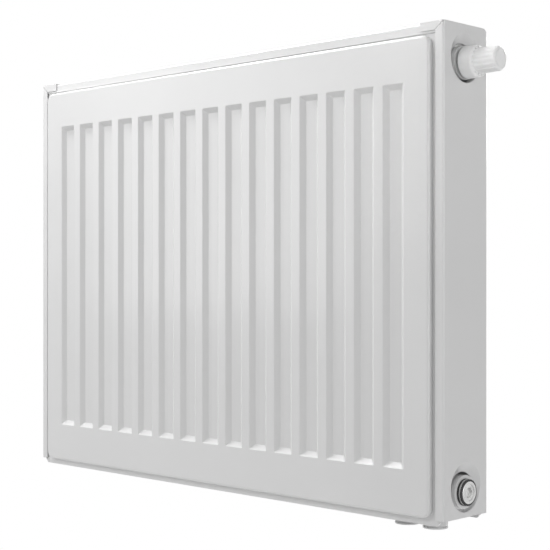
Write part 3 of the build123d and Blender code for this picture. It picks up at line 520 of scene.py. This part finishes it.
# Spot welds on the feet of the hanging lugs; the profile is radius and lift, from the rim inwards
LUG_PLACE = 0.231
LUG_LEVEL = 0.150
FOOT_OFFSET = 0.0196
SPOT_OFFSET = 0.011
FOOT_FACE = -0.009
SPOT_STEPS = 24
SPOT_PROFILE = ((0.0031, -0.0004), (0.0031, 0.0), (0.0027, 0.0003), (0.0023, 0.0003), (0.0018, 0.0001))


def spot_weld(points, faces, x, z):
    """Add one electrode mark to the lists: a raised ring round a flat, facing the wall."""
    first = len(points)
    for radius, lift in SPOT_PROFILE:
        for step in range(SPOT_STEPS):
            angle = 2 * math.pi * step / SPOT_STEPS
            points.append((x + radius * math.cos(angle), FOOT_FACE + lift, z + radius * math.sin(angle)))
    faces += ring_faces(first, len(SPOT_PROFILE), SPOT_STEPS)
    faces += end_faces(first, len(SPOT_PROFILE), SPOT_STEPS)


spot_points, spot_faces = [], []
for lug_x in (-LUG_PLACE, LUG_PLACE):
    for lug_z in (-LUG_LEVEL, LUG_LEVEL):
        for side in (-1, 1):
            for end in (-1, 1):
                spot_weld(spot_points, spot_faces, lug_x + side * FOOT_OFFSET, lug_z + end * SPOT_OFFSET)
spot_mesh = new_mesh("lug_spot_welds", spot_points, spot_faces)
finish_piece("lug_spot_welds", spot_mesh, paint)


# Stage: white surroundings and a pale floor, which turns plain white away from the object
AMBIENT = 0.2
FLOOR_REACH = 6.0
FLOOR_GREY = 0.7
FLOOR_ROUGHNESS = 0.9
WHITE_SHARE = 0.4
WHITE_START = 0.4
WHITE_END = 0.62


def seen_directly(tree):
    """1 for what the camera, a mirror or a glass sees, 0 for the light that falls on things."""
    path = tree.nodes.new("ShaderNodeLightPath")
    total = path.outputs["Is Camera Ray"]
    for ray in ("Is Glossy Ray", "Is Transmission Ray"):
        node = tree.nodes.new("ShaderNodeMath")
        node.operation = "MAXIMUM"
        tree.links.new(total, node.inputs[0])
        tree.links.new(path.outputs[ray], node.inputs[1])
        total = node.outputs["Value"]
    return total


def floor_white():
    """Pale floor that takes the shadow, mixed with plain white by the distance from the middle."""
    material, tree, shader = new_material("floor_white")
    shader.inputs["Base Color"].default_value = (*grey(FLOOR_GREY), 1)
    shader.inputs["Roughness"].default_value = FLOOR_ROUGHNESS
    glow = tree.nodes.new("ShaderNodeEmission")
    glow.inputs["Strength"].default_value = 1.0
    reach = tree.nodes.new("ShaderNodeVectorMath")
    reach.operation = "LENGTH"
    tree.links.new(place(tree), reach.inputs[0])
    share = tree.nodes.new("ShaderNodeMath")
    share.operation = "MULTIPLY"
    white = ramp(tree, reach.outputs["Value"], WHITE_SHARE, 1.0, WHITE_START, WHITE_END)
    tree.links.new(white, share.inputs[0])
    tree.links.new(seen_directly(tree), share.inputs[1])
    mix = tree.nodes.new("ShaderNodeMixShader")
    tree.links.new(share.outputs["Value"], mix.inputs["Fac"])
    tree.links.new(shader.outputs["BSDF"], mix.inputs[1])
    tree.links.new(glow.outputs["Emission"], mix.inputs[2])
    tree.links.new(mix.outputs["Shader"], tree.nodes["Material Output"].inputs["Surface"])
    return material


world = bpy.data.worlds.new("surroundings")
world.use_nodes = True
scene.world = world
surroundings = world.node_tree.nodes["Background"]
surroundings.inputs["Color"].default_value = (1, 1, 1, 1)
world_level = ramp(world.node_tree, seen_directly(world.node_tree), AMBIENT, 1.0, start=0.0, end=1.0)
world.node_tree.links.new(world_level, surroundings.inputs["Strength"])

floor_corners = [
    (-FLOOR_REACH, -FLOOR_REACH, FLOOR_LEVEL),
    (FLOOR_REACH, -FLOOR_REACH, FLOOR_LEVEL),
    (FLOOR_REACH, FLOOR_REACH, FLOOR_LEVEL),
    (-FLOOR_REACH, FLOOR_REACH, FLOOR_LEVEL),
]
floor_mesh = new_mesh("floor", floor_corners, [(0, 1, 2, 3)])
floor_mesh.materials.append(floor_white())
floor = bpy.data.objects.new("floor", floor_mesh)
scene.collection.objects.link(floor)

# Lamps: place, target, width and height, and power in watts
LAMPS = {
    "front_light": ((0.1, -1.2, 1.0), (0.1, -0.09, 0.0), (0.4, 0.4), 4.0),
    "left_light": ((-1.6, -2.2, 1.3), (0.05, -0.09, 0.0), (0.6, 0.6), 17.4),
    "far_light": ((-2.6, -2.6, 0.35), (0.0, -0.09, 0.0), (1.0, 1.0), 5.7),
    "top_light": ((-0.6, -0.26, 1.0), (0.1, -0.09, -0.1), (0.4, 0.4), 13.4),
    "edge_light": ((2.47, -1.17, 0.15), (0.33, -0.05, 0.0), (0.2, 1.5), 6.0),
    "side_light": ((2.4, -0.2, 0.4), (0.3, -0.05, 0.0), (1.4, 1.4), 11.5),
    "back_light": ((-0.5, 2.4, 0.9), (0.0, 0.0, 0.0), (1.2, 1.2), 34.0),
    "valve_light": ((0.8, -1.6, 0.05), (0.375, -0.06, 0.205), (0.3, 0.3), 0.021),
}
VALVE_LIGHT_SPREAD = math.radians(8)


def soft_box(name, location, target, size, power):
    """Rectangular lamp turned to the target."""
    data = bpy.data.lights.new(name, "AREA")
    data.shape = "RECTANGLE"
    data.size, data.size_y = size
    data.energy = power
    lamp = bpy.data.objects.new(name, data)
    lamp.location = location
    x, y, z = (a - b for a, b in zip(target, location))
    lamp.rotation_euler = (math.atan2(math.hypot(x, y), -z), 0, math.atan2(y, x) - math.pi / 2)
    scene.collection.objects.link(lamp)
    return lamp


lamps = {name: soft_box(name, *values) for name, values in LAMPS.items()}
# Narrow lamp on the valve cap, which the side cover shades from the front lamps
lamps["valve_light"].data.spread = VALVE_LIGHT_SPREAD
